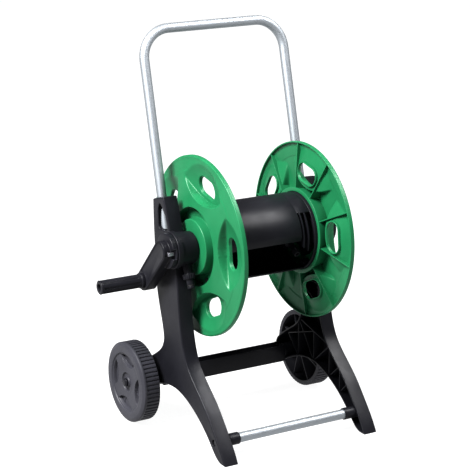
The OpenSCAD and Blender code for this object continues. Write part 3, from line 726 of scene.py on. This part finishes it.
# ---------------------------------------------------------------- side frames
LEAN = math.radians(14.1)               # the handle leans back by this
HANDLE_DIR = Vector((math.sin(LEAN), math.cos(LEAN)))
HANDLE_BASE = Vector((80, 92.6))        # (y, z) where it leaves the side frame


def leg_outline(floor, axle):
    """The side frame's outline, (y, z), from the front of the foot round to the front of the shin."""
    def run(p, a, b, q, n):
        p, q = Vector(p), Vector(q)
        return bezier([p, p + Vector(a), q + Vector(b), q], n)

    foot, back, heel = (-199, floor), (-183, floor), (-143, floor + 26)
    arch, arm, arm_r = (0, floor + 100), (axle[0] - 2, axle[1] + 10), 27
    under = (arm[0] + arm_r * math.cos(math.radians(235)),
            arm[1] + arm_r * math.sin(math.radians(235)))
    over = (arm[0] + arm_r * math.cos(math.radians(50)),
            arm[1] + arm_r * math.sin(math.radians(50)))
    crotch, waist, rear, front = (50, floor + 189), (77, -95), (88, 86), (44, 98)
    neck, knee, shin = (-13, -83), (-44, floor + 171), (-138, floor + 79)
    above = (crotch[0] + 48 - over[0], crotch[1] - 38 - over[1])
    return ([foot] + run(back, (14, 1), (-13, -13), heel, 10) + run(heel, (28, 30), (-56, -4),
            arch, 24)
            + run(arch, (40, 2), (arch[0] + 72 - under[0], arch[1] - 10 - under[1]), under, 14)
            + arc(arm, arm_r, -125, 50, 24) + run(over, above, (10, -31), crotch, 14)
            + run(crotch, (-7, 17), (-7, -40), waist, 10) + run(waist, (3, 55), (0, -68), rear, 12)
            + run(rear, (-10, 4), (10, -1), front, 6) + run(front, (-22, -48), (11, 63), neck, 18)
            + run(neck, (-4, -45), (22, 38), knee, 18) + run(knee, (-18, -31), (31, 37), shin, 18)
            + run(shin, (-20, -23), (13, 26), foot, 14))


LEG_RIBS = [((-10, -60), (78, -60)), ((-16, -120), (72, -120)), ((-16, -120), (78, -60)),
        ((-20, -170), (62, -170)),
            ((-20, -170), (72, -120)), ((-60, -245), (60, -215)), ((-20, -170), (60, -215)),
                    ((-60, -245), (0, -296)),
            ((0, -296), (60, -215)), ((0, -296), (0, -230)), ((0, -230), (100, -262)),
                    ((60, -304), (60, -215)),
            ((60, -304), (100, -262)), ((-100, -278), (-60, -312)), ((-60, -245), (-60, -312)),
            ((-128, -308), (-100, -336)), ((-100, -278), (-100, -336))]


def flared(outline, x0, x1, r, n=4):
    """A cutter from x0 to past x1 that rounds the edge of its hole by r at the face x1."""
    outline = ccw(outline)
    path = [(x0, 0), (x1 - r, 0)] + [(x1 - r + r * math.sin(math.pi / 2 * k / n),
            -r * (1 - math.cos(math.pi / 2 * k / n)))
                                     for k in range(1, n + 1)] + [(x1 + 9, -r)]
    sh = Shape()
    rings = [sh.ring([(x, y, z) for y, z in inset(outline, d)]) for x, d in path]
    for a, b in zip(rings, rings[1:]):
        sh.bridge(a, b)
    sh.cap(rings[0], True)
    sh.cap(rings[-1])
    return sh


def circle(r, centre=(0, 0), n=48):
    return arc(centre, r, 0, 360, n)


def handle_rod(x, r, low, high, n=48):
    """A round bar along the handle's leg at x, from low to high along it."""
    sh = Shape()
    rings = []
    for s in (low, high):
        c = HANDLE_BASE + HANDLE_DIR * s
        rings.append(sh.ring([(x + r * math.cos(TAU * k / n),
                c.x + r * math.sin(TAU * k / n) * HANDLE_DIR.y,
                               c.y - r * math.sin(TAU * k / n) * HANDLE_DIR.x) for k in range(n)]))
    sh.bridge(*rings)
    sh.cap(rings[0], True)
    sh.cap(rings[1])
    return sh


def side_frame(crank_side):
    out_x = 182
    in_x = out_x - 31
    floor, axle = -AXIS.z * 1000, (WHEEL.y * 1000, WHEEL.z * 1000)
    handle_x = box_mm("handle_tube")[1][0] - 10
    bar = box_mm("foot_bar")
    bar = ((bar[0][1] + bar[1][1]) / 2, (bar[0][2] + bar[1][2]) / 2)
    outline = leg_outline(floor, axle)
    body = boolean(prism(outline, in_x, out_x, 0.7, 5, 3.0),
            [prism(inset(ccw(outline), 3), in_x - 4, out_x - 3, 0.3, 1)])
    sleeve = boolean(handle_rod(handle_x, 13, -168, 30),
            [prism(inset(ccw(outline), 1), in_x + 0.4, out_x - 1, 0.2, 1)],
                     "INTERSECT")
    boss = lathe(fillet([(24, 143), (33, 143), (36, out_x + 2), (24, out_x + 2)], [0, 1.6, 1.6, 0],
            4), 96)
    body = boolean(body, [sleeve, boss], "UNION")
    window = ([(60, 85), (50, 76), (37, 62), (26, 38), (36, 30)] + arc((55, 39), 10, -90, 0,
            8) + [(67, 69)])
    cuts = [flared(fillet(window, 4, 5), handle_x, out_x, 1.6),
            flared(circle(6.5, bar), out_x - 6, out_x, 1.2),
            handle_rod(handle_x, 10.1, -170, 60)]
    bore_to = out_x + 12 if crank_side else out_x - 3
    cuts.append(lathe([(26, in_x - 20), (26, bore_to), (0.01, bore_to), (0.01, in_x - 20)], 96))
    body = boolean(body, cuts)
    if crank_side:
        body.add(lathe(fillet([(26, out_x - 2), (38, out_x - 2), (38, out_x + 9), (26, out_x + 9)],
                [0, 0, 2.2, 1.0], 5), 96))
    body.add(lathe(fillet([(6.1, in_x), (17, in_x), (17, 194.6), (6.1, 194.6)], [0, 1, 1.2, 0.4],
            3), 64, axle))
    body.add(lathe(fillet([(10.1, in_x), (12, in_x), (12, out_x - 2), (10.1, out_x - 2)],
            [0.3, 0.3, 0, 0], 2), 48, bar))
    for p, q in LEG_RIBS:
        p, q = Vector(p), Vector(q)
        n = Vector((-(q - p).normalized().y, (q - p).normalized().x)) * 1.2
        rib = prism([tuple(p + n), tuple(p - n), tuple(q - n), tuple(q + n)], in_x + 3,
                out_x - 1.5, 0.5, 2)
        body.add(boolean(rib, [prism(inset(ccw(outline), 1.2), in_x, out_x, 0.2, 1)], "INTERSECT"))
    return body


def make_frames():
    make(side_frame(False), "leg_far", BLACK, "cart", ["side_frame_right"], sharp=35)
    make(side_frame(True).mirrored(), "leg_near", BLACK, "cart", ["side_frame_left"], sharp=35)


# ---------------------------------------------------------------- tubes
def tube_run(points, r, wall, n=40):
    """A hollow tube along a polyline of points in mm, open at both ends."""
    pts = [Vector(p) for p in points]
    sh = Shape()
    side = None
    outer, inner = [], []
    for i, p in enumerate(pts):
        t = (pts[min(i + 1, len(pts) - 1)] - pts[max(i - 1, 0)]).normalized()
        if side is None:
            side = t.orthogonal().normalized()
        side = (side - t * side.dot(t)).normalized()
        up = t.cross(side)
        for store, rad in ((outer, r), (inner, r - wall)):
            store.append(sh.ring([p + (side * math.cos(TAU * k / n) + up * math.sin(TAU * k / n)) * rad
                                  for k in range(n)]))
    for store in (outer, inner):
        for a, b in zip(store, store[1:]):
            sh.bridge(a, b)
    sh.bridge(outer[0], inner[0])
    sh.bridge(outer[-1], inner[-1])
    return sh


def make_tubes():
    lo, hi = box_mm("handle_tube")
    r = 10.0
    half = (hi[0] - lo[0]) / 2 - r
    along = HANDLE_DIR
    top = Vector((hi[1] - r, hi[2] - r))
    bend = 62.0

    def place(x, s):
        q = top - along * s
        return (x, q.x, q.y)

    length = (top.y - lo[2] - r * along.x) / along.y
    pts = [place(-half, length - k * (length - bend) / 16) for k in range(16)]
    pts += [place(-half + bend * (1 - math.cos(math.pi / 2 * k / 20)),
            bend * (1 - math.sin(math.pi / 2 * k / 20)))
            for k in range(21)]
    pts += [(-p[0], p[1], p[2]) for p in reversed(pts)]
    make(tube_run(pts, r, 1.3, 48), "handle_loop", STEEL, "cart", ["handle_tube"], sharp=50)
    lo, hi = box_mm("foot_bar")
    y, z = (lo[1] + hi[1]) / 2, (lo[2] + hi[2]) / 2
    make(tube_run([(lo[0] + (hi[0] - lo[0]) * k / 12, y, z) for k in range(13)], r, 1.3, 48),
         "foot_rail", STEEL, "cart", ["foot_bar"], sharp=50)



# ---------------------------------------------------------------- drum
def ring_pt(r, a):
    return (-r * math.sin(math.radians(a)), r * math.cos(math.radians(a)))


def shell_outline(a0, a1, r=81.5, wall=3.0, lip=0.0, lip_angle=12):
    """Cross-section of a drum shell between two angles, its far edge curled inwards over lip_angle."""
    n = max(6, int((a1 - a0) / 2.5))
    outer = [ring_pt(r, a0 + (a1 - a0) * k / n) for k in range(n + 1)]
    inner = [ring_pt(r - wall, a0 + (a1 - a0) * k / n) for k in range(n + 1)]
    if lip:
        for k in range(1, 7):
            t = k / 6
            outer.append(ring_pt(r - lip * t * t, a1 + lip_angle * t))
            inner.append(ring_pt(r - wall - lip * t * t, a1 + lip_angle * t))
    pts = outer + inner[::-1]
    rad = [1.2] + [0] * (len(outer) - 2) + [1.4, 1.2] + [0] * (len(inner) - 2) + [1.2]
    return fillet(pts, rad, 4)


def curled_edge(x0, x1, a0, a1, r, depth):
    """A crescent of plastic turned into the drum along the end of the opening."""
    n = 16
    outer = [ring_pt(r, a0 + (a1 - a0) * k / n) for k in range(n + 1)]
    inner = [ring_pt(r - depth * math.sin(math.pi * min(1, 1.35 * k / n) / 2) - 0.2,
            a0 + (a1 - a0) * k / n)
             for k in range(n, 0, -1)]
    return prism(outer + inner, x0, x1, 0.5, 2)


def make_drum():
    _, hi = box_mm("drum_upper")
    r, end = hi[2], hi[0]
    notch = end - 30
    upper = prism(shell_outline(-96, 78, r, lip=5.0), -end, notch, 0.8, 3)
    upper.add(prism(shell_outline(-96, 48, r), notch - 2, end, 0.8, 3))
    upper.add(curled_edge(notch + 4, notch + 7, 44, 100, r - 0.4, 9))
    upper.add(curled_edge(notch + 15, notch + 18, 44, 106, r - 0.4, 9))
    make(upper, "drum_cover", BLACK, "reel", ["drum_upper"], sharp=40)
    full = box_mm("drum_lower")[1][0]
    band_in = end + 0.5
    lower = prism(shell_outline(150, 263.7, r), -band_in - 0.5, band_in + 0.5, 0.6, 3)
    for s in (-1, 1):
        ring = lathe(fillet([(r, band_in), (r, full), (r - 3, full), (r - 3, band_in)],
                [1.0, 0.8, 0.8, 0.6], 3), 144)
        for k in range(5):
            a = 12 + 72 * k
            y, z = ring_pt(71, a)
            ring.add(lathe(fillet([(2.5, full - 1), (8.6, full - 1), (8.6, full - 16),
                    (2.5, full - 16)], [0.3, 0.8, 0.8, 0.3], 2),
                           32, (y, z)))
        if s > 0:
            ring.add(curled_edge(band_in + 0.2, band_in + 2.2, 46, 96, r - 0.6, 9))
        lower.add(ring if s > 0 else ring.mirrored())
    make(lower, "drum_base", BLACK, "reel", ["drum_lower"], sharp=40)


# ---------------------------------------------------------------- the CAD's own solids with softened edges
def make_softened():
    for name, width, body in (("crossbar", 1.0, "cart"), ("bar_collars", 1.0, "cart"),
                              ("crank_arm", 1.6, "reel"), ("crank_grip", 0.8, "grip"),
                              ("axle_cap_left", 0.9, "cart"), ("axle_cap_right", 0.9, "cart"),
                              ("inlet_nipple", 0.5, "cart"), ("inlet_collar", 0.4, "cart"),
                              ("hose_tail", 0.3, "reel"), ("hose_tail_nut", 0.6, "reel"),
                              ("crank_key", 0.8, "reel")):
        mat = KEY if name == "crank_key" else BLACK
        soften(name, name + "_soft", mat, body, width)


make_camera()
make_stage()
make_flanges()
make_wheels()
make_frames()
make_tubes()
make_drum()
make_softened()

for name, obj in frame["nodes"].items():
    mat = BY_SLOT[NODE_SLOT[name]]
    if not obj.data.materials:
        obj.data.materials.append(mat)
    for s in obj.material_slots:
        s.material = mat
